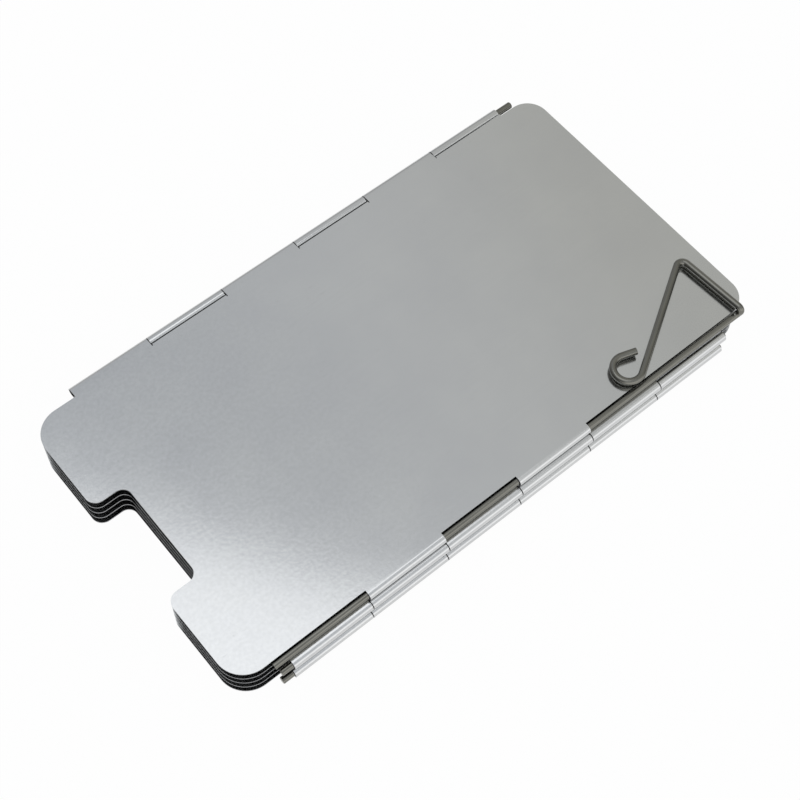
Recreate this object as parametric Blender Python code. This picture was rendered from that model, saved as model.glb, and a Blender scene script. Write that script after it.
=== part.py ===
"""Folding windscreen for a camping stove, folded flat.

Five aluminium panels lie on each other like an accordion. Their long edges are rolled into
knuckles round four steel hinge pins, on the far side and the near side in turn. A bent wire
stake slides in the free edge of each end panel and is pushed into the ground in use.

Metres, +Z up. +X runs from the notched end to the end with the handles, +Y to the far side.
The origin is below the middle of the pack, on the surface that it lies on.
"""

import math

import bmesh
import bpy
from mathutils import Matrix, Vector

# Panels
PANEL_LENGTH = 0.240
PANEL_WIDTH = 0.1238
SHEET = 0.0005
PLAIN_CORNER_RADIUS = 0.009
NOTCHED_CORNER_RADIUS = 0.011

# Notch in the end that stands on the ground, for air and the gas hose
NOTCH_WIDTH = 0.0434
NOTCH_DEPTH = 0.0136
NOTCH_MOUTH_RADIUS = 0.0045
NOTCH_ROOT_RADIUS = 0.0038

# Steel wire of the hinge pins and of the stakes
WIRE_RADIUS = 0.0014
WIRE_CLEARANCE = 0.0002

# Knuckles: the row of rolled tabs along a long edge
KNUCKLE_COUNT = 6
ROW_START = 0.0199
ROW_END_MARGIN = 0.0155
KNUCKLE_GAP = 0.0004
HINGE_EDGE_GAP = 0.00095
STAKE_REACH = 0.0011
ROLL_END = math.radians(300)
ROLL_STEPS = 18

# Hinge pins: each is a little longer than its row of knuckles, and has slid some way along it.
# A positive shift draws the end at the notch into its knuckle.
PIN_SPARE = 0.0051
PIN_CHAMFER = 0.0003
PIN_SIDES = 16
PIN_SHIFTS = (0.0024, -0.0045, -0.0025, -0.0045)

# Stakes. The rod lies close in, partly below the panel's edge. The upright that carries the
# handle flares out, so that it passes the edge when the stake slides.
STAKE_START = 0.0141
HANDLE_INSET = 0.0068
HANDLE_FLARE = 0.0015
HANDLE_GAP = 0.001
HANDLE_LEAN = math.radians(3.7)
HANDLE_DEPTH = 0.0317
BRACE_ANGLE = math.radians(31.1)
BRACE_LENGTH = 0.0536
HOOK_RADIUS = 0.0055
HOOK_TURN = math.radians(229)
HOOK_TAIL = 0.006
WIRE_BEND = 0.0024
BEND_STEPS = 5
HOOK_STEPS = 14
WIRE_BEVEL_RESOLUTION = 4

CORNER_STEPS = 6
NOTCH_STEPS = 5
SHARP_ANGLE = math.radians(30)

NEAR = -1
FAR = 1
DOWN = -1
UP = 1
ODD = range(1, KNUCKLE_COUNT + 1, 2)
EVEN = range(2, KNUCKLE_COUNT + 1, 2)
STAKED = (2, 4)

# Each long edge of each panel, from the top panel down: its side, the places of its knuckles,
# the way that they curl, and whether they hold a stake
PANELS = {
    "panel_1_top": [(FAR, ODD, DOWN, False), (NEAR, STAKED, DOWN, True)],
    "panel_2": [(FAR, EVEN, UP, False), (NEAR, ODD, DOWN, False)],
    "panel_3_middle": [(FAR, EVEN, DOWN, False), (NEAR, EVEN, UP, False)],
    "panel_4": [(FAR, ODD, UP, False), (NEAR, EVEN, DOWN, False)],
    "panel_5_bottom": [(NEAR, ODD, UP, False), (FAR, STAKED, UP, True)],
}

# Worked out from the sizes above
PANEL_COUNT = len(PANELS)
KNUCKLE_RADIUS = WIRE_RADIUS + WIRE_CLEARANCE + SHEET
ROLL_RADIUS = KNUCKLE_RADIUS - SHEET / 2
PITCH = 2 * KNUCKLE_RADIUS
HINGE_REACH = KNUCKLE_RADIUS + HINGE_EDGE_GAP
HANDLE_LIFT = HANDLE_GAP + WIRE_RADIUS
HANDLE_HEIGHT = HANDLE_LIFT + WIRE_RADIUS
BOTTOM_SHEET = HANDLE_HEIGHT + SHEET / 2
NOTCHED_END = -PANEL_LENGTH / 2
PLAIN_END = PANEL_LENGTH / 2
KNUCKLE_PITCH = (PANEL_LENGTH - ROW_START - ROW_END_MARGIN) / KNUCKLE_COUNT
HINGE_Y = PANEL_WIDTH / 2 + HINGE_REACH
STAKE_Y = PANEL_WIDTH / 2 + STAKE_REACH
PIN_LENGTH = KNUCKLE_COUNT * KNUCKLE_PITCH + PIN_SPARE


def clear_scene():
    for obj in list(bpy.data.objects):
        bpy.data.objects.remove(obj, do_unlink=True)


def metal(name, colour, roughness):
    material = bpy.data.materials.new(name)
    material.use_nodes = True
    shader = material.node_tree.nodes["Principled BSDF"]
    shader.inputs["Base Color"].default_value = (*colour, 1)
    shader.inputs["Metallic"].default_value = 1
    shader.inputs["Roughness"].default_value = roughness
    return material


def world_place(obj):
    """Where an object is at rest. No parent here is turned."""
    return obj.location + world_place(obj.parent) if obj else Vector()


def add_object(name, data, parent, place):
    """An object at a place in the world, held by its parent. No data makes it an empty."""
    obj = bpy.data.objects.new(name, data)
    bpy.context.scene.collection.objects.link(obj)
    obj.parent = parent
    obj.location = Vector(place) - world_place(parent)
    return obj


def add_axis(name, parent, place):
    """An empty on a joint's axis. Turning it swings all that it carries."""
    empty = add_object(name, None, parent, place)
    empty.empty_display_size = PITCH
    return empty


def sheet_height(index):
    """Height of the middle of a panel's sheet. Panel 0 is the top one."""
    return BOTTOM_SHEET + PITCH * (PANEL_COUNT - 1 - index)


def knuckle_span(place):
    """Where the knuckle at a place, 1 to KNUCKLE_COUNT, starts and ends along X."""
    start = NOTCHED_END + ROW_START + (place - 1) * KNUCKLE_PITCH
    return start + KNUCKLE_GAP / 2, start + KNUCKLE_PITCH - KNUCKLE_GAP / 2


def edge_points(side, places):
    """The points of one long edge, from the notched end to the plain end."""
    y = side * PANEL_WIDTH / 2
    points = [(NOTCHED_END, y)]
    for place in places:
        points += [(x, y) for x in knuckle_span(place)]
    points.append((PLAIN_END, y))
    return points


def round_corners(mesh, places, radius, steps):
    corners = [v for v in mesh.verts if any((v.co.xy - Vector(p)).length < SHEET / 2 for p in places)]
    bmesh.ops.bevel(
        mesh, geom=corners, offset=radius, offset_type="OFFSET", segments=steps,
        profile=0.5, affect="VERTICES", clamp_overlap=True,
    )


def roll_knuckle(mesh, edge, side, curl, has_stake):
    """Extrudes a tab from an edge of the sheet and rolls it round its axis."""
    reach = STAKE_REACH if has_stake else HINGE_REACH
    drop = ROLL_RADIUS if has_stake else PITCH / 2
    axis = Vector((0, side * (PANEL_WIDTH / 2 + reach), curl * drop))
    root = math.hypot(reach, drop)
    start = math.acos(ROLL_RADIUS / root) - math.atan2(reach, drop)
    out = bmesh.ops.extrude_edge_only(mesh, edges=[edge])["geom"]
    verts = [g for g in out if isinstance(g, bmesh.types.BMVert)]
    lips = [g for g in out if isinstance(g, bmesh.types.BMEdge) and all(v in verts for v in g.verts)]
    for vert in verts:
        vert.co.y = axis.y + side * ROLL_RADIUS * math.sin(start)
        vert.co.z = axis.z - curl * ROLL_RADIUS * math.cos(start)
    bmesh.ops.spin(
        mesh, geom=verts + lips, cent=axis, axis=(1, 0, 0), dvec=(0, 0, 0),
        angle=side * curl * (ROLL_END - start), steps=ROLL_STEPS, use_duplicate=False,
    )


def panel_mesh(name, long_edges):
    """The middle surface of one panel, flat at Z 0. The modifier on it gives the sheet its thickness."""
    edges = {side: edge_points(side, places) for side, places, _, _ in long_edges}
    half_notch = NOTCH_WIDTH / 2
    notch_root = NOTCHED_END + NOTCH_DEPTH
    mouth = [(NOTCHED_END, half_notch), (NOTCHED_END, -half_notch)]
    root = [(notch_root, half_notch), (notch_root, -half_notch)]
    outline = edges[NEAR] + edges[FAR][::-1] + [mouth[0], root[0], root[1], mouth[1]]
    mesh = bmesh.new()
    mesh.faces.new([mesh.verts.new((x, y, 0)) for x, y in outline])
    round_corners(mesh, [edges[s][0] for s in (NEAR, FAR)], NOTCHED_CORNER_RADIUS, CORNER_STEPS)
    round_corners(mesh, [edges[s][-1] for s in (NEAR, FAR)], PLAIN_CORNER_RADIUS, CORNER_STEPS)
    round_corners(mesh, mouth, NOTCH_MOUTH_RADIUS, NOTCH_STEPS)
    round_corners(mesh, root, NOTCH_ROOT_RADIUS, NOTCH_STEPS)
    for side, places, curl, has_stake in long_edges:
        for place in places:
            x = sum(knuckle_span(place)) / 2
            middle = Vector((x, side * PANEL_WIDTH / 2, 0))
            edge = min(mesh.edges, key=lambda e: ((e.verts[0].co + e.verts[1].co) / 2 - middle).length)
            roll_knuckle(mesh, edge, side, curl, has_stake)
    bmesh.ops.recalc_face_normals(mesh, faces=mesh.faces)
    data = bpy.data.meshes.new(name)
    mesh.to_mesh(data)
    mesh.free()
    return data


def add_panel(index, name, long_edges, material, axis):
    panel = add_object(name, panel_mesh(name, long_edges), axis, (0, 0, sheet_height(index)))
    panel.data.materials.append(material)
    thickness = panel.modifiers.new("sheet", "SOLIDIFY")
    thickness.thickness = SHEET
    thickness.offset = 0
    thickness.use_even_offset = True
    panel.data.shade_smooth()
    panel.data.set_sharp_from_angle(angle=SHARP_ANGLE)


def pin_mesh():
    mesh = bmesh.new()
    bmesh.ops.create_cone(
        mesh, cap_ends=True, segments=PIN_SIDES, radius1=WIRE_RADIUS, radius2=WIRE_RADIUS, depth=PIN_LENGTH,
        matrix=Matrix.Rotation(math.pi / 2, 4, "Y"),
    )
    rims = [e for e in mesh.edges if abs(e.verts[0].co.x - e.verts[1].co.x) < PIN_CHAMFER]
    bmesh.ops.bevel(mesh, geom=rims, offset=PIN_CHAMFER, segments=1, profile=0.5, affect="EDGES")
    data = bpy.data.meshes.new("hinge_pin")
    mesh.to_mesh(data)
    mesh.free()
    data.shade_smooth()
    data.set_sharp_from_angle(angle=SHARP_ANGLE)
    return data


def rounded_path(points, radius, steps):
    """The points with each inner corner turned into an arc."""
    path = [points[0]]
    for before, corner, after in zip(points, points[1:], points[2:]):
        back = (before - corner).normalized()
        ahead = (after - corner).normalized()
        half = back.angle(ahead) / 2
        trim = min(radius / math.tan(half), (after - corner).length / 2, (before - corner).length / 2)
        bisector = (back + ahead).normalized()
        centre = corner + bisector * trim / math.cos(half)
        first = corner + back * trim - centre
        last = corner + ahead * trim - centre
        for step in range(steps + 1):
            path.append(centre + first.slerp(last, step / steps) * first.length)
    path.append(points[-1])
    return path


def hook_points(start, heading):
    """An arc that turns clockwise from a heading, seen from above, and its straight tail."""
    centre = start + HOOK_RADIUS * Vector((math.sin(heading), -math.cos(heading), 0))
    points = []
    for step in range(1, HOOK_STEPS + 1):
        angle = heading + math.pi / 2 - HOOK_TURN * step / HOOK_STEPS
        points.append(centre + HOOK_RADIUS * Vector((math.cos(angle), math.sin(angle), 0)))
    last = heading - HOOK_TURN
    points.append(points[-1] + HOOK_TAIL * Vector((math.cos(last), math.sin(last), 0)))
    return points


def stake_curve():
    """The wire of a stake, from its tip, with the rod along X and the handle above it on the +Y side."""
    rise = SHEET / 2 + HANDLE_LIFT + ROLL_RADIUS
    corner = Vector((PLAIN_END - HANDLE_INSET, 0, 0))
    above = corner + Vector((0, -HANDLE_FLARE, rise))
    apex = above + Vector((-HANDLE_DEPTH * math.tan(HANDLE_LEAN), HANDLE_DEPTH, 0))
    heading = math.pi + BRACE_ANGLE
    brace_end = apex + BRACE_LENGTH * Vector((math.cos(heading), math.sin(heading), 0))
    tip = Vector((NOTCHED_END + STAKE_START, 0, 0))
    points = rounded_path([tip, corner, above, apex, brace_end], WIRE_BEND, BEND_STEPS)
    points += hook_points(brace_end, heading)
    curve = bpy.data.curves.new("stake", "CURVE")
    curve.dimensions = "3D"
    curve.bevel_depth = WIRE_RADIUS
    curve.bevel_resolution = WIRE_BEVEL_RESOLUTION
    curve.use_fill_caps = True
    spline = curve.splines.new("POLY")
    spline.points.add(len(points) - 1)
    for place, point in zip(spline.points, points):
        place.co = (*point, 1)
        place.radius = 1
    spline.use_smooth = True
    return curve


def main():
    clear_scene()
    aluminium = metal("mill_aluminium", (0.38, 0.39, 0.39), 0.32)
    steel = metal("drawn_steel_wire", (0.17, 0.17, 0.15), 0.35)

    pack_base = add_axis("pack_base", None, (0, 0, 0))
    axes = [pack_base]
    for hinge in reversed(range(PANEL_COUNT - 1)):
        side = NEAR if hinge % 2 else FAR
        height = (sheet_height(hinge) + sheet_height(hinge + 1)) / 2
        name = f"hinge_axis_{hinge + 1}_{hinge + 2}"
        axes.insert(0, add_axis(name, axes[0], (0, side * HINGE_Y, height)))
    for index, (name, long_edges) in enumerate(PANELS.items()):
        add_panel(index, name, long_edges, aluminium, axes[index])

    pin_data = pin_mesh()
    pin_data.materials.append(steel)
    for hinge, shift in enumerate(PIN_SHIFTS):
        place = world_place(axes[hinge])
        place.x = NOTCHED_END + ROW_START + shift + PIN_LENGTH / 2
        add_object(f"hinge_pin_{hinge + 1}_{hinge + 2}", pin_data, axes[hinge], place)

    wire = stake_curve()
    wire.materials.append(steel)
    top_height = sheet_height(0) - ROLL_RADIUS
    bottom_height = sheet_height(PANEL_COUNT - 1) + ROLL_RADIUS
    add_object("stake_top", wire, axes[0], (0, NEAR * STAKE_Y, top_height))
    bottom_stake = add_object("stake_bottom", wire, pack_base, (0, FAR * STAKE_Y, bottom_height))
    bottom_stake.rotation_euler.x = math.pi


main()
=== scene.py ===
"""Looks of a folding windscreen for a camping stove, folded flat.

Five aluminium panels, four hinge pins and two bent wire stakes, each made finer than in the model
that it rides on, in the same places. Metres, +Z up. +X runs from the notched end to the end with
the handles, +Y to the far side.
"""

import math

import bmesh
import bpy
from mathutils import Matrix, Vector


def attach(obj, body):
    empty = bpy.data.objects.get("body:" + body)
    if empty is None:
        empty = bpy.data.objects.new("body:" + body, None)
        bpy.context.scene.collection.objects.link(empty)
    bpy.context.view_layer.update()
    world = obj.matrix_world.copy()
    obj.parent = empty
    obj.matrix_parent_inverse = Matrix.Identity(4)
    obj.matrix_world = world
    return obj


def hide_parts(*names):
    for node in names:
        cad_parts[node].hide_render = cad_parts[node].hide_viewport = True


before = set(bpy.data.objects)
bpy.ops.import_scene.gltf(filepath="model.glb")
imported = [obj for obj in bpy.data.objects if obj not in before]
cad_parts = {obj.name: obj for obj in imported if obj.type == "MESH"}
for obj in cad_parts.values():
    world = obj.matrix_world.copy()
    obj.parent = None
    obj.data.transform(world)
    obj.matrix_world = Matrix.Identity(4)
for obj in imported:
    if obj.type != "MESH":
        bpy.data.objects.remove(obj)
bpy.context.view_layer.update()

# Panels
PANEL_LENGTH = 0.240
PANEL_WIDTH = 0.1238
SHEET = 0.0005
PLAIN_CORNER_RADIUS = 0.009
NOTCHED_CORNER_RADIUS = 0.011
NOTCH_WIDTH = 0.0434
NOTCH_DEPTH = 0.0136
NOTCH_MOUTH_RADIUS = 0.0045
NOTCH_ROOT_RADIUS = 0.0038
SHEET_BURR = 0.00008

# Steel wire of the hinge pins and of the stakes
WIRE_RADIUS = 0.0014
WIRE_CLEARANCE = 0.0002
WIRE_SIDES = 28
WIRE_END_ROUNDING = 0.00035

# Knuckles: the row of rolled tabs along a long edge
KNUCKLE_COUNT = 6
ROW_START = 0.0199
ROW_END_MARGIN = 0.0155
KNUCKLE_GAP = 0.0004
HINGE_EDGE_GAP = 0.00095
HINGE_LAND = 0.0007
STAKE_REACH = 0.0011
ROLL_END = math.radians(300)
ROLL_STEPS = 36

# Hinge pins
PIN_SPARE = 0.0051
PIN_SHIFTS = (0.0024, -0.0045, -0.0025, -0.0045)

# Stakes
STAKE_START = 0.0141
HANDLE_INSET = 0.0068
HANDLE_FLARE = 0.0015
HANDLE_GAP = 0.001
HANDLE_LEAN = math.radians(3.7)
HANDLE_DEPTH = 0.0317
BRACE_ANGLE = math.radians(31.1)
BRACE_LENGTH = 0.0536
HOOK_RADIUS = 0.0055
HOOK_TURN = math.radians(229)
HOOK_TAIL = 0.006
WIRE_BEND = 0.0024
BEND_STEPS = 10
HOOK_STEPS = 36

CORNER_STEPS = 16
NOTCH_STEPS = 12
SHARP_ANGLE = math.radians(30)
BEVEL_ANGLE = math.radians(60)
BURR_SEGMENTS = 2
WIRE_END_SEGMENTS = 3

NEAR = -1
FAR = 1
DOWN = -1
UP = 1
ODD = (1, 3, 5)
EVEN = (2, 4, 6)
ODD_AND_EVEN = (1, 2, 3, 4, 5, 6)
STAKED = (2, 4)

# Each panel from the top down: its node, its body, and its long edges, each with its side,
# the places of its knuckles, the way that they curl, and whether they hold a stake
PANELS = [
    ("panel_1_top", "top_panel", [(FAR, ODD, DOWN, False), (NEAR, STAKED, DOWN, True)]),
    ("panel_2", "second_panel", [(FAR, EVEN, UP, False), (NEAR, ODD, DOWN, False)]),
    ("panel_3_middle", "middle_panel", [(FAR, EVEN, DOWN, False), (NEAR, EVEN, UP, False)]),
    ("panel_4", "fourth_panel", [(FAR, ODD, UP, False), (NEAR, EVEN, DOWN, False)]),
    ("panel_5_bottom", "bottom_panel", [(NEAR, ODD, UP, False), (FAR, STAKED, UP, True)]),
]
PIN_BODIES = ("top_panel", "second_panel", "middle_panel", "fourth_panel")

# Worked out from the sizes above
KNUCKLE_RADIUS = WIRE_RADIUS + WIRE_CLEARANCE + SHEET
ROLL_RADIUS = KNUCKLE_RADIUS - SHEET / 2
PITCH = 2 * KNUCKLE_RADIUS
HINGE_REACH = KNUCKLE_RADIUS + HINGE_EDGE_GAP
HANDLE_LIFT = HANDLE_GAP + WIRE_RADIUS
BOTTOM_SHEET = HANDLE_LIFT + WIRE_RADIUS + SHEET / 2
NOTCHED_END = -PANEL_LENGTH / 2
PLAIN_END = PANEL_LENGTH / 2
KNUCKLE_PITCH = (PANEL_LENGTH - ROW_START - ROW_END_MARGIN) / KNUCKLE_COUNT
HINGE_Y = PANEL_WIDTH / 2 + HINGE_REACH
STAKE_Y = PANEL_WIDTH / 2 + STAKE_REACH
PIN_LENGTH = KNUCKLE_COUNT * KNUCKLE_PITCH + PIN_SPARE

# Camera of the photograph
CAMERA_PLACE = (-0.19146, -0.21649, 0.52604)
CAMERA_AZIMUTH = math.radians(-41.70)
CAMERA_ELEVATION = math.radians(61.60)
CAMERA_ROLL = math.radians(2.46)
CAMERA_LENS = 71.445
CAMERA_SENSOR = 36
CAMERA_CLIP_START = 0.01

# Settings of the materials
MULTIPLY = {"data_type": "RGBA", "blend_type": "MULTIPLY"}
LINE_SHARE = 0.03
LINE_HEIGHT = 0.5
SCUFF_ROUGHNESS = 0.1
PATCH_SHARE = 0.25
WHITE_SHARE = 0.97

# Studio
FLOOR_SIZE = 4.0
SOFTBOX_PLACE = (-0.177, 0.064, 1.02)
SOFTBOX_TURN = math.radians(33)
SOFTBOX_SIZE = (0.80, 0.90)
SOFTBOX_LEVEL = 0.80
STRIP_PLACE = (0.34, -0.51, 0.86)
STRIP_TILT = math.radians(-30)
STRIP_SIZE = (1.0, 0.12)
STRIP_LEVEL = 0.75
ROOM_LEVEL = 1.9

# How light the walls are, by the share of a turn from the left by the near side and the right
WALL_TONES = [
    (0.0, 0.09), (0.08, 0.2), (0.13, 0.7), (0.22, 0.75), (0.3, 0.75), (0.35, 0.65), (0.42, 0.15),
    (0.5, 0.2), (0.58, 0.36), (0.66, 0.22), (0.76, 0.34), (0.86, 0.17), (0.94, 0.09),
]
# The ceiling's colour from the left to the right
CEILING_TONES = [
    (0.2, "#979A9E"), (0.55, "#9D9FA1"), (0.72, "#A1A2A2"), (0.82, "#9D9E9D"), (0.95, "#979793"),
]


# Colours and nodes


def colour(code):
    """The linear colour of an sRGB hex value."""
    parts = [int(code[i:i + 2], 16) / 255 for i in (1, 3, 5)]
    return (*(p / 12.92 if p <= 0.04045 else ((p + 0.055) / 1.055) ** 2.4 for p in parts), 1)


def add(tree, kind, settings=None, **links):
    """Adds a node. A setting names an input by its number or name, the stops of a ramp, or else a
    property. A link's name is an input, with _ for a space, and its value is an output socket."""
    node = tree.nodes.new(kind)
    for key, value in (settings or {}).items():
        if isinstance(key, int) or key in node.inputs:
            node.inputs[key].default_value = value
        elif key == "stops":
            node.color_ramp.elements.remove(node.color_ramp.elements[1])
            node.color_ramp.elements[0].position, node.color_ramp.elements[0].color = value[0]
            for place, tone in value[1:]:
                node.color_ramp.elements.new(place).color = tone
        else:
            setattr(node, key, value)
    for name, socket in links.items():
        key = int(name[1:]) if name[0] == "i" and name[1:].isdigit() else name.replace("_", " ")
        tree.links.new(socket, node.inputs[key])
    return node


def new_material(name):
    material = bpy.data.materials.new(name)
    material.use_nodes = True
    material.node_tree.nodes.clear()
    return material, material.node_tree


def grey(level):
    return (level, level, level, 1)


def mill_finish_aluminium():
    """Mill finish aluminium sheet, as it comes off the cold rolls: nearly a mirror, with faint
    rolling lines along the sheet, cloudy patches, and fine handling marks."""
    material, tree = new_material("mill_finish_aluminium")
    place = add(tree, "ShaderNodeTexCoord").outputs["Object"]

    # Rolling lines about 1 mm apart, drawn coarser than real ones so that they show
    lines_place = add(tree, "ShaderNodeMapping", {"Scale": (14, 900, 900)}, Vector=place)
    lines = add(
        tree, "ShaderNodeTexNoise", {"Scale": 1.0, "Detail": 4.0, "Roughness": 0.6},
        Vector=lines_place.outputs[0],
    )
    # Cloudy patches 15 to 40 mm across
    clouds = add(
        tree, "ShaderNodeTexNoise", {"Scale": 38.0, "Detail": 4.0, "Roughness": 0.55},
        Vector=place,
    )
    # Mottling about 1.5 mm across, strongest toward the notched end, which stands on the ground
    mottle = add(
        tree, "ShaderNodeTexNoise", {"Scale": 700.0, "Detail": 3.0, "Roughness": 0.6},
        Vector=place,
    )
    spots = add(
        tree, "ShaderNodeMapRange",
        {"From Min": 0.35, "From Max": 0.65, "To Min": 0.97, "To Max": 1.03},
        Value=mottle.outputs["Fac"],
    )
    along = add(tree, "ShaderNodeSeparateXYZ", Vector=place)
    worn = add(
        tree, "ShaderNodeMapRange", {"From Min": 0.0, "From Max": -0.07},
        Value=along.outputs["X"],
    )
    # Short scuffs, a few millimetres long and far apart
    scuff_place = add(
        tree, "ShaderNodeMapping", {"Scale": (260, 700, 700), "Rotation": (0, 0, 0.5)},
        Vector=place,
    )
    scuffs = add(
        tree, "ShaderNodeTexNoise", {"Scale": 1.0, "Detail": 2.0, "Roughness": 0.7},
        Vector=scuff_place.outputs[0],
    )
    scuff_mask = add(
        tree, "ShaderNodeValToRGB", {"stops": [(0.7, grey(0)), (0.8, grey(1))]},
        Fac=scuffs.outputs["Fac"],
    ).outputs[0]

    body = add(
        tree, "ShaderNodeValToRGB",
        {"stops": [(0.3, colour("#CACBCC")), (0.7, colour("#CECFCF"))]},
        Fac=clouds.outputs["Fac"],
    )
    streaked = add(
        tree, "ShaderNodeMix", {**MULTIPLY, 0: LINE_SHARE},
        i6=body.outputs[0], i7=lines.outputs["Fac"],
    )
    mottled = add(
        tree, "ShaderNodeMix", MULTIPLY,
        i0=worn.outputs[0], i6=streaked.outputs[2], i7=spots.outputs[0],
    )
    final = add(
        tree, "ShaderNodeMix", {"data_type": "RGBA", 7: colour("#C2C3C3")},
        i0=scuff_mask, i6=mottled.outputs[2],
    )

    rough = add(
        tree, "ShaderNodeMapRange", {"To Min": 0.13, "To Max": 0.17},
        Value=clouds.outputs["Fac"],
    )
    rougher = add(
        tree, "ShaderNodeMath", {"operation": "MULTIPLY_ADD", 1: SCUFF_ROUGHNESS},
        i0=scuff_mask, i2=rough.outputs[0],
    )

    height = add(
        tree, "ShaderNodeMath", {"operation": "MULTIPLY_ADD", 1: LINE_HEIGHT},
        i0=lines.outputs["Fac"], i2=mottle.outputs["Fac"],
    )
    bump = add(
        tree, "ShaderNodeBump", {"Strength": 0.25, "Distance": 0.00004},
        Height=height.outputs[0],
    )
    shader = add(
        tree, "ShaderNodeBsdfPrincipled", {"Metallic": 1.0},
        Base_Color=final.outputs[2], Roughness=rougher.outputs[0], Normal=bump.outputs[0],
    )
    add(tree, "ShaderNodeOutputMaterial", Surface=shader.outputs[0])
    return material


def sheared_edge_with_painted_shade():
    """The edge that the press shears: half burnished, half torn, so duller than the face. Its
    colour is darker than the face partly for that reason and partly as painted shade, for the
    shadow along the sheet edges and between the sheets."""
    material, tree = new_material("sheared_edge_with_painted_shade")
    place = add(tree, "ShaderNodeTexCoord").outputs["Object"]
    # Shear marks about 0.3 mm apart, across the thickness
    marks_place = add(tree, "ShaderNodeMapping", {"Scale": (3000, 3000, 200)}, Vector=place)
    marks = add(
        tree, "ShaderNodeTexNoise", {"Scale": 1.0, "Detail": 3.0},
        Vector=marks_place.outputs[0],
    )
    # The edges' grey: partly the duller sheared metal, partly painted shade along the edges and
    # between the sheets
    edge_tint_with_painted_shade = add(
        tree, "ShaderNodeValToRGB",
        {"stops": [(0.3, colour("#858688")), (0.7, colour("#AFB0B1"))]},
        Fac=marks.outputs["Fac"],
    )
    rough = add(
        tree, "ShaderNodeMapRange", {"To Min": 0.35, "To Max": 0.5},
        Value=marks.outputs["Fac"],
    )
    bump = add(
        tree, "ShaderNodeBump", {"Strength": 0.3, "Distance": 0.00003},
        Height=marks.outputs["Fac"],
    )
    shader = add(
        tree, "ShaderNodeBsdfPrincipled", {"Metallic": 1.0},
        Base_Color=edge_tint_with_painted_shade.outputs[0], Roughness=rough.outputs[0], Normal=bump.outputs[0],
    )
    add(tree, "ShaderNodeOutputMaterial", Surface=shader.outputs[0])
    return material


def drawn_steel_wire():
    """Cold drawn steel wire with a thin zinc coat: grey with an olive cast, die lines along it,
    and a soft gloss."""
    material, tree = new_material("drawn_steel_wire")
    place = add(tree, "ShaderNodeAttribute", {"attribute_name": "wire_place"}).outputs["Vector"]
    # Die lines about 0.3 mm apart round the wire, some 20 mm long
    lines_place = add(tree, "ShaderNodeMapping", {"Scale": (5, 5, 50)}, Vector=place)
    lines = add(
        tree, "ShaderNodeTexNoise", {"Scale": 1.0, "Detail": 3.0, "Roughness": 0.6},
        Vector=lines_place.outputs[0],
    )
    # Dull patches in the coat, 5 to 15 mm long
    patch_place = add(tree, "ShaderNodeMapping", {"Scale": (0.8, 0.8, 120)}, Vector=place)
    patches = add(
        tree, "ShaderNodeTexNoise", {"Scale": 1.0, "Detail": 3.0},
        Vector=patch_place.outputs[0],
    )
    body = add(
        tree, "ShaderNodeValToRGB",
        {"stops": [(0.3, colour("#76756F")), (0.7, colour("#87867F"))]},
        Fac=lines.outputs["Fac"],
    )
    dulled = add(
        tree, "ShaderNodeMix", {**MULTIPLY, 0: PATCH_SHARE},
        i6=body.outputs[0], i7=patches.outputs["Fac"],
    )
    rough = add(
        tree, "ShaderNodeMapRange", {"To Min": 0.15, "To Max": 0.25},
        Value=patches.outputs["Fac"],
    )
    bump = add(
        tree, "ShaderNodeBump", {"Strength": 0.15, "Distance": 0.00003},
        Height=lines.outputs["Fac"],
    )
    shader = add(
        tree, "ShaderNodeBsdfPrincipled", {"Metallic": 1.0},
        Base_Color=dulled.outputs[2], Roughness=rough.outputs[0], Normal=bump.outputs[0],
    )
    add(tree, "ShaderNodeOutputMaterial", Surface=shader.outputs[0])
    return material


def white_paper_sweep():
    """Matt white background paper. It shows white, and still takes the object's shadow."""
    material, tree = new_material("white_paper_sweep")
    rays = add(tree, "ShaderNodeLightPath").outputs
    seen = add(
        tree, "ShaderNodeMath", {"operation": "MAXIMUM"},
        i0=rays["Is Camera Ray"], i1=rays["Is Glossy Ray"],
    )
    seen = add(
        tree, "ShaderNodeMath", {"operation": "MAXIMUM"},
        i0=seen.outputs[0], i1=rays["Is Transmission Ray"],
    )
    share = add(
        tree, "ShaderNodeMath", {"operation": "MULTIPLY", 1: WHITE_SHARE}, i0=seen.outputs[0],
    )
    paper = add(tree, "ShaderNodeBsdfDiffuse", {"Color": colour("#F2F2F2")})
    glow = add(tree, "ShaderNodeEmission", {"Color": colour("#FFFFFF"), "Strength": 1.0})
    both = add(
        tree, "ShaderNodeMixShader",
        Fac=share.outputs[0], i1=paper.outputs[0], i2=glow.outputs[0],
    )
    add(tree, "ShaderNodeOutputMaterial", Surface=both.outputs[0])
    return material


# Shapes


def finish_piece(mesh, name, body, node, materials):
    """Turns a bmesh into a piece that rides on a body and stands for a node."""
    data = bpy.data.meshes.new(name)
    mesh.to_mesh(data)
    mesh.free()
    for material in materials:
        data.materials.append(material)
    data.shade_smooth()
    data.set_sharp_from_angle(angle=SHARP_ANGLE)
    piece = bpy.data.objects.new(name, data)
    bpy.context.scene.collection.objects.link(piece)
    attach(piece, body)
    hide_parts(node)
    return piece


def bevel_edges(piece, width, segments):
    bevel = piece.modifiers.new("rounded edges", "BEVEL")
    bevel.width = width
    bevel.segments = segments
    bevel.limit_method = "ANGLE"
    bevel.angle_limit = BEVEL_ANGLE


def sheet_height(index):
    """Height of the middle of a panel's sheet. Panel 0 is the top one."""
    return BOTTOM_SHEET + PITCH * (len(PANELS) - 1 - index)


def knuckle_span(place):
    start = NOTCHED_END + ROW_START + (place - 1) * KNUCKLE_PITCH
    return start + KNUCKLE_GAP / 2, start + KNUCKLE_PITCH - KNUCKLE_GAP / 2


def edge_between(mesh, first, second):
    """The edge whose middle lies nearest to the middle of two points."""
    middle = (Vector(first) + Vector(second)) / 2
    return min(mesh.edges, key=lambda e: ((e.verts[0].co + e.verts[1].co) / 2 - middle).length)


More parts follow.
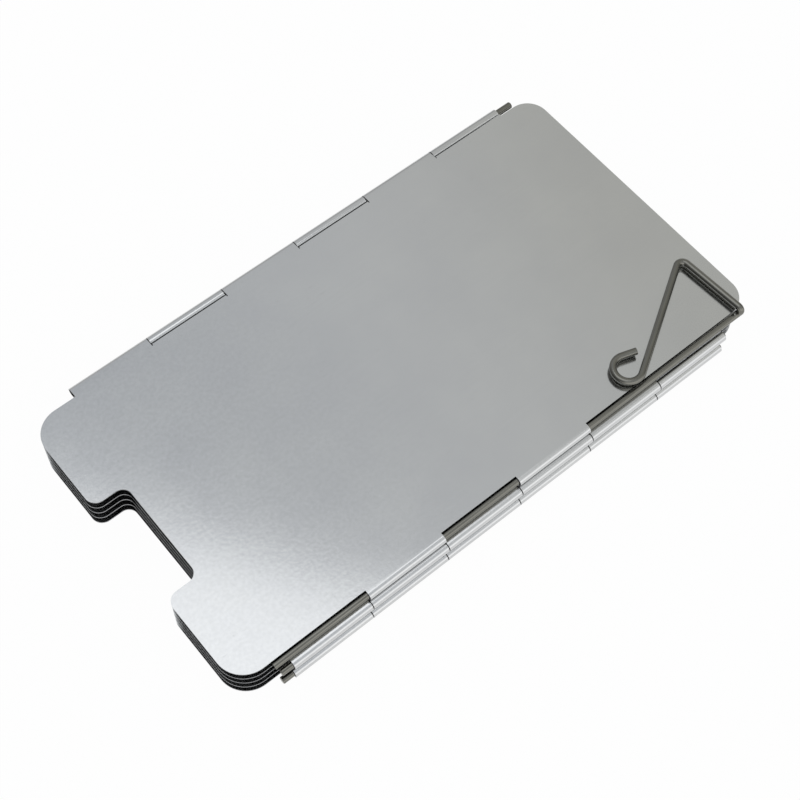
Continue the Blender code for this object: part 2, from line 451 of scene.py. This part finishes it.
def split_at(mesh, edge, x):
    """Splits an edge that runs along X at a given X."""
    start, end = sorted(edge.verts, key=lambda v: v.co.x)
    bmesh.utils.edge_split(edge, start, (x - start.co.x) / (end.co.x - start.co.x))


def round_corners(mesh, places, radius, steps):
    corners = [
        v for v in mesh.verts if any((v.co.xy - Vector(p)).length < SHEET / 2 for p in places)
    ]
    bmesh.ops.bevel(
        mesh, geom=corners, offset=radius, offset_type="OFFSET", segments=steps,
        profile=0.5, affect="VERTICES", clamp_overlap=True, material=-1,
    )


def extrude_edges(mesh, edges):
    """Extrudes edges in place. Gives the new vertices, and the new edges between them."""
    out = bmesh.ops.extrude_edge_only(mesh, edges=edges)["geom"]
    verts = [g for g in out if isinstance(g, bmesh.types.BMVert)]
    between = [
        g for g in out if isinstance(g, bmesh.types.BMEdge) and all(v in verts for v in g.verts)
    ]
    return verts, between


def roll_knuckle(mesh, edge, side, curl, has_stake, height):
    """Extrudes a tab from an edge of the sheet and rolls it round its axis."""
    reach = STAKE_REACH if has_stake else HINGE_REACH
    drop = ROLL_RADIUS if has_stake else PITCH / 2
    axis = Vector((0, side * (PANEL_WIDTH / 2 + reach), height + curl * drop))
    start = math.acos(ROLL_RADIUS / math.hypot(reach, drop)) - math.atan2(reach, drop)
    verts, lips = extrude_edges(mesh, [edge])
    for vert in verts:
        vert.co.y = axis.y + side * ROLL_RADIUS * math.sin(start)
        vert.co.z = axis.z - curl * ROLL_RADIUS * math.cos(start)
    bmesh.ops.spin(
        mesh, geom=verts + lips, cent=axis, axis=(1, 0, 0), dvec=(0, 0, 0),
        angle=side * curl * (ROLL_END - start), steps=ROLL_STEPS, use_duplicate=False,
    )


def add_land(mesh, edge, side):
    """Draws an edge of the sheet out towards the neighbour's knuckle."""
    verts, _ = extrude_edges(mesh, [edge])
    bmesh.ops.translate(mesh, verts=verts, vec=(0, side * HINGE_LAND, 0))


def add_panel(index, materials):
    node, body, long_edges = PANELS[index]
    height = sheet_height(index)
    half = PANEL_WIDTH / 2
    notch = NOTCH_WIDTH / 2
    root = NOTCHED_END + NOTCH_DEPTH
    mouth_points = [(NOTCHED_END, notch), (NOTCHED_END, -notch)]
    root_points = [(root, notch), (root, -notch)]
    notched_corners = [(NOTCHED_END, half), (NOTCHED_END, -half)]
    plain_corners = [(PLAIN_END, -half), (PLAIN_END, half)]
    outline = [
        notched_corners[0], mouth_points[0], root_points[0],
        root_points[1], mouth_points[1], notched_corners[1], *plain_corners,
    ]

    mesh = bmesh.new()
    mesh.faces.new([mesh.verts.new((x, y, height)) for x, y in outline])
    for side, places, _, has_stake in long_edges:
        y = side * half
        for place in places if has_stake else ODD_AND_EVEN:
            for x in knuckle_span(place):
                whole = [e for e in mesh.edges if all(abs(v.co.y - y) < SHEET / 2 for v in e.verts)]
                rest = max(whole, key=lambda e: max(v.co.x for v in e.verts))
                split_at(mesh, rest, x)
    round_corners(mesh, notched_corners, NOTCHED_CORNER_RADIUS, CORNER_STEPS)
    round_corners(mesh, plain_corners, PLAIN_CORNER_RADIUS, CORNER_STEPS)
    round_corners(mesh, mouth_points, NOTCH_MOUTH_RADIUS, NOTCH_STEPS)
    round_corners(mesh, root_points, NOTCH_ROOT_RADIUS, NOTCH_STEPS)
    for side, places, curl, has_stake in long_edges:
        for place in places if has_stake else ODD_AND_EVEN:
            first, last = ((x, side * half, height) for x in knuckle_span(place))
            straight = edge_between(mesh, first, last)
            if place in places:
                roll_knuckle(mesh, straight, side, curl, has_stake, height)
            else:
                add_land(mesh, straight, side)
    bmesh.ops.recalc_face_normals(mesh, faces=mesh.faces)

    piece = finish_piece(mesh, f"{node}_sheet", body, node, materials)
    thickness = piece.modifiers.new("sheet", "SOLIDIFY")
    thickness.thickness = SHEET
    thickness.offset = 0
    thickness.use_even_offset = True
    thickness.material_offset_rim = 1
    bevel_edges(piece, SHEET_BURR, BURR_SEGMENTS)
    weighted = piece.modifiers.new("flat faces", "WEIGHTED_NORMAL")
    weighted.keep_sharp = True


def wire_bmesh(path):
    """A round wire along a path. Each vertex keeps its place on the wire, for the die lines."""
    mesh = bmesh.new()
    headings = [(b - a).normalized() for a, b in zip(path, path[1:])]
    between = [(a + b).normalized() for a, b in zip(headings, headings[1:])]
    tangents = [headings[0], *between, headings[-1]]
    turn = tangents[0].to_track_quat("Z", "Y").to_matrix().to_4x4()
    layer = mesh.verts.layers.float_vector.new("wire_place")
    ring = bmesh.ops.create_circle(
        mesh, cap_ends=True, segments=WIRE_SIDES, radius=WIRE_RADIUS,
        matrix=Matrix.Translation(path[0]) @ turn,
    )["verts"]
    for index, vert in enumerate(ring):
        angle = math.tau * index / WIRE_SIDES
        vert[layer] = (math.cos(angle), math.sin(angle), 0)
    rim = list({e for v in ring for e in v.link_edges})
    along = 0
    for step in range(1, len(path)):
        ring, rim = extrude_edges(mesh, rim)
        swing = tangents[step - 1].rotation_difference(tangents[step]).to_matrix().to_4x4()
        move = Matrix.Translation(path[step]) @ swing @ Matrix.Translation(-path[step - 1])
        bmesh.ops.transform(mesh, matrix=move, verts=ring)
        along += (path[step] - path[step - 1]).length
        for vert in ring:
            vert[layer] = (vert[layer].x, vert[layer].y, along)
    bmesh.ops.contextual_create(mesh, geom=rim)
    bmesh.ops.recalc_face_normals(mesh, faces=mesh.faces)
    return mesh


def rounded_path(points, radius, steps):
    """The points with each inner corner turned into an arc."""
    path = [points[0]]
    for before, corner, after in zip(points, points[1:], points[2:]):
        back = (before - corner).normalized()
        ahead = (after - corner).normalized()
        half = back.angle(ahead) / 2
        shorter = min((after - corner).length, (before - corner).length)
        trim = min(radius / math.tan(half), shorter / 2)
        centre = corner + (back + ahead).normalized() * trim / math.cos(half)
        first = corner + back * trim - centre
        last = corner + ahead * trim - centre
        for step in range(steps + 1):
            path.append(centre + first.slerp(last, step / steps) * first.length)
    path.append(points[-1])
    return path


def stake_path():
    """The middle of a stake's wire from its tip, with the rod along X and the handle on its +Y
    side."""
    rise = SHEET / 2 + HANDLE_LIFT + ROLL_RADIUS
    tip = Vector((NOTCHED_END + STAKE_START, 0, 0))
    corner = Vector((PLAIN_END - HANDLE_INSET, 0, 0))
    above = corner + Vector((0, -HANDLE_FLARE, rise))
    apex = above + Vector((-HANDLE_DEPTH * math.tan(HANDLE_LEAN), HANDLE_DEPTH, 0))
    heading = math.pi + BRACE_ANGLE
    brace_end = apex + BRACE_LENGTH * Vector((math.cos(heading), math.sin(heading), 0))
    path = rounded_path([tip, corner, above, apex, brace_end], WIRE_BEND, BEND_STEPS)
    hook_centre = brace_end + HOOK_RADIUS * Vector((math.sin(heading), -math.cos(heading), 0))
    for step in range(1, HOOK_STEPS + 1):
        angle = heading + math.pi / 2 - HOOK_TURN * step / HOOK_STEPS
        path.append(hook_centre + HOOK_RADIUS * Vector((math.cos(angle), math.sin(angle), 0)))
    last = heading - HOOK_TURN
    path.append(path[-1] + HOOK_TAIL * Vector((math.cos(last), math.sin(last), 0)))
    return path


def add_wire(path, name, body, node, material):
    piece = finish_piece(wire_bmesh(path), name, body, node, [material])
    bevel_edges(piece, WIRE_END_ROUNDING, WIRE_END_SEGMENTS)


def add_lamp(name, size, level, place, turn):
    """A rectangular lamp of a given brightness. Its turn is about X and about Z."""
    lamp = bpy.data.lights.new(name, "AREA")
    lamp.shape = "RECTANGLE"
    lamp.size, lamp.size_y = size
    lamp.energy = level * math.pi * size[0] * size[1]
    lamp_object = bpy.data.objects.new(name, lamp)
    lamp_object.location = place
    lamp_object.rotation_euler = (turn[0], 0, turn[1])
    bpy.context.scene.collection.objects.link(lamp_object)


# The object

aluminium = mill_finish_aluminium()
# The sheet edges' material, darker than the face partly as painted shade
edge = sheared_edge_with_painted_shade()
steel = drawn_steel_wire()

for index in range(len(PANELS)):
    add_panel(index, [aluminium, edge])

for hinge, (shift, body) in enumerate(zip(PIN_SHIFTS, PIN_BODIES)):
    y = (NEAR if hinge % 2 else FAR) * HINGE_Y
    z = (sheet_height(hinge) + sheet_height(hinge + 1)) / 2
    x = NOTCHED_END + ROW_START + shift
    name = f"hinge_pin_{hinge + 1}_{hinge + 2}"
    add_wire([Vector((x, y, z)), Vector((x + PIN_LENGTH, y, z))], f"{name}_wire", body, name, steel)

upper = Matrix.Translation((0, NEAR * STAKE_Y, sheet_height(0) - ROLL_RADIUS))
lower = Matrix.Translation((0, FAR * STAKE_Y, sheet_height(len(PANELS) - 1) + ROLL_RADIUS))
lower = lower @ Matrix.Rotation(math.pi, 4, "X")
stakes = ((upper, "upper_stake", "stake_top"), (lower, "lower_stake", "stake_bottom"))
for where, body, node in stakes:
    add_wire([where @ point for point in stake_path()], f"{node}_wire", body, node, steel)

# The studio

floor_mesh = bmesh.new()
bmesh.ops.create_grid(floor_mesh, x_segments=1, y_segments=1, size=FLOOR_SIZE / 2)
floor_data = bpy.data.meshes.new("floor")
floor_mesh.to_mesh(floor_data)
floor_mesh.free()
floor_data.materials.append(white_paper_sweep())
floor = bpy.data.objects.new("floor", floor_data)
bpy.context.scene.collection.objects.link(floor)

add_lamp("softbox", SOFTBOX_SIZE, SOFTBOX_LEVEL, SOFTBOX_PLACE, (0, SOFTBOX_TURN))
# A narrow lamp on the near side, along the knuckles, which draws a second bright line on them
add_lamp("strip", STRIP_SIZE, STRIP_LEVEL, STRIP_PLACE, (STRIP_TILT, 0))

# A room with a grey ceiling, cooler on the left and warmer on the right. The near walls are
# light, as by a window, and the left ones are dark.
world = bpy.data.worlds.new("studio_room")
world.use_nodes = True
room = world.node_tree
room.nodes.clear()
direction = add(room, "ShaderNodeTexCoord").outputs["Generated"]
axes = add(room, "ShaderNodeSeparateXYZ", Vector=direction)
azimuth = add(room, "ShaderNodeTexGradient", {"gradient_type": "RADIAL"}, Vector=direction)
walls = add(
    room, "ShaderNodeValToRGB", {"stops": [(at, grey(level)) for at, level in WALL_TONES]},
    Fac=azimuth.outputs["Fac"],
)
across = add(
    room, "ShaderNodeMapRange", {"From Min": 0.0, "From Max": 0.5}, Value=axes.outputs["X"],
)
ceiling = add(
    room, "ShaderNodeValToRGB", {"stops": [(at, colour(code)) for at, code in CEILING_TONES]},
    Fac=across.outputs[0],
)
height = add(
    room, "ShaderNodeMapRange", {"From Min": 0.3, "From Max": 0.75}, Value=axes.outputs["Z"],
)
light = add(
    room, "ShaderNodeMix", {"data_type": "RGBA"},
    i0=height.outputs[0], i6=walls.outputs[0], i7=ceiling.outputs[0],
)
glow = add(room, "ShaderNodeBackground", {"Strength": ROOM_LEVEL}, Color=light.outputs[2])
add(room, "ShaderNodeOutputWorld", Surface=glow.outputs[0])
bpy.context.scene.world = world

camera_data = bpy.data.cameras.new("camera")
camera_data.lens = CAMERA_LENS
camera_data.sensor_width = CAMERA_SENSOR
camera_data.clip_start = CAMERA_CLIP_START
camera = bpy.data.objects.new("camera", camera_data)
bpy.context.scene.collection.objects.link(camera)
camera.matrix_world = (
    Matrix.Translation(CAMERA_PLACE)
    @ Matrix.Rotation(CAMERA_AZIMUTH, 4, "Z")
    @ Matrix.Rotation(math.pi / 2 - CAMERA_ELEVATION, 4, "X")
    @ Matrix.Rotation(CAMERA_ROLL, 4, "Z")
)
bpy.context.scene.camera = camera
bpy.context.scene.view_settings.view_transform = "Standard"
